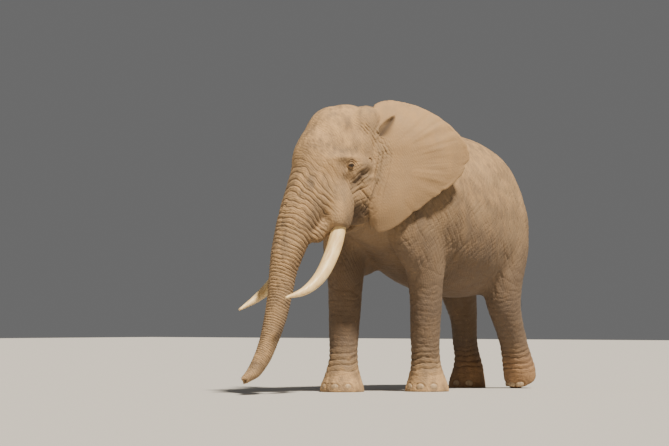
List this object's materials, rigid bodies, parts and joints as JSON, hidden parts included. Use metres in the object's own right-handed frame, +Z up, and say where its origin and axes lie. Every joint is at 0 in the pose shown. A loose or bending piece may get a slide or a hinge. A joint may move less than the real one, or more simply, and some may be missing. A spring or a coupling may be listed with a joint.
{
  "type": "african bush elephant",
  "caption": "Bull African bush elephant walking, head turned a little, ears half spread, trunk hanging forward and long curved tusks; a still model at life size.",
  "frame": {"origin": "on the ground under the middle of the animal's bounding box", "axes": "+Z up, the animal faces -Y, +X to its left"},
  "size_m": [2.145, 4.8048, 3.3352],
  "materials": {
    "skin": "rough, dry and wrinkled, dusted with pale earth",
    "ivory": "worn satin",
    "eye": "wet gloss",
    "nail": "dull horn",
    "hair": "coarse dark hair"
  },
  "bodies": {
    "root": {"head": "skin", "trunk_tip": "skin", "trunk_middle": "skin", "trunk_upper": "skin", "jaw": "skin", "neck": "skin", "torso": "skin", "ear_left": "skin", "ear_right": "skin", "tail": "skin", "foreleg_left_upper": "skin", "foreleg_left_lower": "skin", "foreleg_left_foot": "skin", "foreleg_right_upper": "skin", "foreleg_right_lower": "skin", "foreleg_right_foot": "skin", "hindleg_left_upper": "skin", "hindleg_left_lower": "skin", "hindleg_left_foot": "skin", "hindleg_right_upper": "skin", "hindleg_right_lower": "skin", "hindleg_right_foot": "skin", "tusk_left": "ivory", "tusk_right": "ivory", "eye_left": "eye", "eye_right": "eye", "nail_fore_left_1": "nail", "nail_fore_left_2": "nail", "nail_fore_left_3": "nail", "nail_fore_left_4": "nail", "nail_fore_right_1": "nail", "nail_fore_right_2": "nail", "nail_fore_right_3": "nail", "nail_fore_right_4": "nail", "nail_hind_left_1": "nail", "nail_hind_left_2": "nail", "nail_hind_left_3": "nail", "nail_hind_right_1": "nail", "nail_hind_right_2": "nail", "nail_hind_right_3": "nail", "tail_tuft": "hair"}
  },
  "joints": []
}
